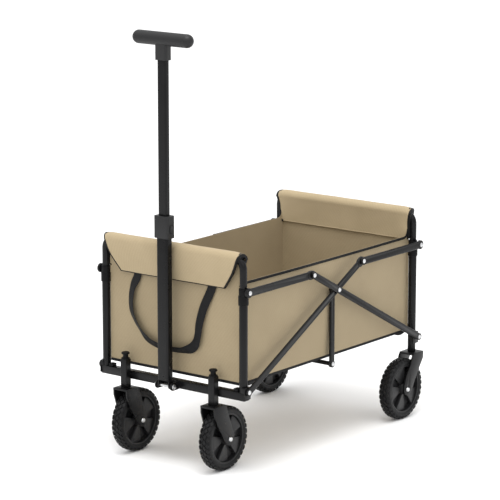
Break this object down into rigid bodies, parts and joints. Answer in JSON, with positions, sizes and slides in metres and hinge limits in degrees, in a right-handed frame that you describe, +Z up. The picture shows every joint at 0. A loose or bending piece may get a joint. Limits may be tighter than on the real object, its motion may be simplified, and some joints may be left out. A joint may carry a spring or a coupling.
{
  "type": "collapsible utility wagon",
  "caption": "Folding fabric utility wagon: khaki tub on a black steel scissor frame, two swivel front casters, two fixed rear wheels and a telescoping pull handle.",
  "frame": {"origin": "on the floor, under the middle of the object's outer box", "axes": "+Z up, -Y towards the pull handle (front), +X to the wagon's left as it is pulled"},
  "size_m": [0.54, 0.8974, 1.1855],
  "materials": {
    "frame_steel": "satin black powder coat",
    "black_plastic": "moulded black plastic",
    "grip_plastic": "black moulded grip",
    "zinc_steel": "zinc plated",
    "khaki_fabric": "woven polyester, khaki",
    "black_webbing": "woven webbing, black",
    "tyre": "moulded black rubber-like tread",
    "rim_plastic": "moulded dark grey plastic"
  },
  "bodies": {
    "front_frame": {"front_posts": "frame_steel", "front_crossbar": "frame_steel", "front_upper_frame": "frame_steel", "front_collars": "black_plastic", "front_lower_brackets": "frame_steel", "front_upper_brackets": "black_plastic", "caster_sleeves": "frame_steel", "handle_bracket": "frame_steel", "front_rivets": "zinc_steel", "front_panel": "khaki_fabric", "front_roll": "khaki_fabric", "carry_strap": "black_webbing", "side_panel_left": "khaki_fabric", "side_panel_right": "khaki_fabric", "floor_panel": "khaki_fabric"},
    "rear_frame": {"rear_posts": "frame_steel", "rear_crossbar": "frame_steel", "rear_upper_frame": "frame_steel", "rear_collars": "black_plastic", "rear_lower_brackets": "frame_steel", "rear_upper_brackets": "black_plastic", "rear_fork_left": "frame_steel", "rear_fork_right": "frame_steel", "rear_rivets": "zinc_steel", "rear_panel": "khaki_fabric", "rear_roll": "khaki_fabric"},
    "brace_a_right": {"brace_a_right": "frame_steel", "rivets_a_right": "zinc_steel"},
    "brace_b_right": {"brace_b_right": "frame_steel", "rivet_b_right": "zinc_steel"},
    "brace_a_left": {"brace_a_left": "frame_steel", "rivets_a_left": "zinc_steel"},
    "brace_b_left": {"brace_b_left": "frame_steel", "rivet_b_left": "zinc_steel"},
    "front_link_right": {"front_link_right": "frame_steel"},
    "front_link_left": {"front_link_left": "frame_steel"},
    "rear_link_right": {"rear_link_right": "frame_steel"},
    "rear_link_left": {"rear_link_left": "frame_steel"},
    "under_frame": {"under_posts": "frame_steel", "under_bar": "frame_steel"},
    "caster_left": {"caster_fork_left": "frame_steel", "caster_knob_left": "black_plastic", "caster_axle_left": "zinc_steel"},
    "caster_right": {"caster_fork_right": "frame_steel", "caster_knob_right": "black_plastic", "caster_axle_right": "zinc_steel"},
    "wheel_front_left": {"tyre_front_left": "tyre", "rim_front_left": "rim_plastic"},
    "wheel_front_right": {"tyre_front_right": "tyre", "rim_front_right": "rim_plastic"},
    "wheel_rear_left": {"tyre_rear_left": "tyre", "rim_rear_left": "rim_plastic"},
    "wheel_rear_right": {"tyre_rear_right": "tyre", "rim_rear_right": "rim_plastic"},
    "handle_lower": {"handle_lower_tube": "frame_steel", "handle_clamp": "black_plastic"},
    "clamp_button": {"clamp_button": "black_plastic"},
    "handle_upper": {"handle_upper_tube": "frame_steel", "handle_grip": "grip_plastic"}
  },
  "joints": [
    {"name": "fold", "type": "hinge", "parent": "front_frame", "child": "brace_a_right", "pos_m": [0.26, -0.38025, 0.236], "axis": [1, 0, 0], "range_deg": [0, 56.3], "deforming": ["side_panel_left", "side_panel_right", "floor_panel"]},
    {"name": "cross_right", "type": "hinge", "parent": "brace_a_right", "child": "brace_b_right", "pos_m": [0.26, 0.01675, 0.4465], "axis": [1, 0, 0], "range_deg": [-113.1, 0]},
    {"name": "rear_foot_right", "type": "hinge", "parent": "brace_b_right", "child": "rear_frame", "pos_m": [0.26, 0.41375, 0.236], "axis": [1, 0, 0], "range_deg": [0, 56.8]},
    {"name": "under_hang", "type": "hinge", "parent": "brace_a_right", "child": "under_frame", "pos_m": [0.26, 0.01675, 0.4465], "axis": [1, 0, 0], "range_deg": [-56.8, 0]},
    {"name": "front_link_right", "type": "hinge", "parent": "brace_b_right", "child": "front_link_right", "pos_m": [0.26, -0.09925, 0.508], "axis": [1, 0, 0], "range_deg": [0, 140.2]},
    {"name": "rear_link_right", "type": "hinge", "parent": "brace_a_right", "child": "rear_link_right", "pos_m": [0.26, 0.13275, 0.508], "axis": [1, 0, 0], "range_deg": [-140.2, 0]},
    {"name": "fold_left", "type": "hinge", "parent": "front_frame", "child": "brace_a_left", "pos_m": [-0.26, -0.38025, 0.236], "axis": [1, 0, 0], "range_deg": [0, 56.8]},
    {"name": "cross_left", "type": "hinge", "parent": "brace_a_left", "child": "brace_b_left", "pos_m": [-0.26, 0.01675, 0.4465], "axis": [1, 0, 0], "range_deg": [-113.1, 0]},
    {"name": "front_link_left", "type": "hinge", "parent": "brace_b_left", "child": "front_link_left", "pos_m": [-0.26, -0.09925, 0.508], "axis": [1, 0, 0], "range_deg": [0, 140.2]},
    {"name": "rear_link_left", "type": "hinge", "parent": "brace_a_left", "child": "rear_link_left", "pos_m": [-0.26, 0.13275, 0.508], "axis": [1, 0, 0], "range_deg": [-140.2, 0]},
    {"name": "handle_fold", "type": "hinge", "parent": "front_frame", "child": "handle_lower", "pos_m": [0, -0.41725, 0.222], "axis": [1, 0, 0], "range_deg": [0, 100]},
    {"name": "handle_slide", "type": "slide", "parent": "handle_lower", "child": "handle_upper", "axis": [0, 0, 1], "range_m": [-0.32, 0]},
    {"name": "clamp_button_press", "type": "slide", "parent": "handle_lower", "child": "clamp_button", "axis": [-1, 0, 0], "range_m": [0, 0.0025], "stiffness_N_per_m": 600},
    {"name": "caster_swivel_left", "type": "hinge", "parent": "front_frame", "child": "caster_left", "pos_m": [-0.154, -0.40175, 0.2], "axis": [0, 0, 1], "continuous": true},
    {"name": "wheel_spin_front_left", "type": "hinge", "parent": "caster_left", "child": "wheel_front_left", "pos_m": [-0.154, -0.35975, 0.089], "axis": [1, 0, 0], "continuous": true},
    {"name": "wheel_spin_rear_left", "type": "hinge", "parent": "rear_frame", "child": "wheel_rear_left", "pos_m": [-0.24, 0.35975, 0.089], "axis": [1, 0, 0], "continuous": true},
    {"name": "caster_swivel_right", "type": "hinge", "parent": "front_frame", "child": "caster_right", "pos_m": [0.154, -0.40175, 0.2], "axis": [0, 0, 1], "continuous": true},
    {"name": "wheel_spin_front_right", "type": "hinge", "parent": "caster_right", "child": "wheel_front_right", "pos_m": [0.154, -0.35975, 0.089], "axis": [1, 0, 0], "continuous": true},
    {"name": "wheel_spin_rear_right", "type": "hinge", "parent": "rear_frame", "child": "wheel_rear_right", "pos_m": [0.24, 0.35975, 0.089], "axis": [1, 0, 0], "continuous": true}
  ],
  "couplings": [
    {"joint": "cross_right", "follows": "fold", "ratio": -2},
    {"joint": "rear_foot_right", "follows": "fold", "ratio": 1},
    {"joint": "under_hang", "follows": "fold", "ratio": -1},
    {"joint": "front_link_right", "follows": "fold", "ratio": 2.482},
    {"joint": "rear_link_right", "follows": "fold", "ratio": -2.482},
    {"joint": "fold_left", "follows": "fold", "ratio": 1},
    {"joint": "cross_left", "follows": "fold", "ratio": -2},
    {"joint": "front_link_left", "follows": "fold", "ratio": 2.482},
    {"joint": "rear_link_left", "follows": "fold", "ratio": -2.482}
  ]
}
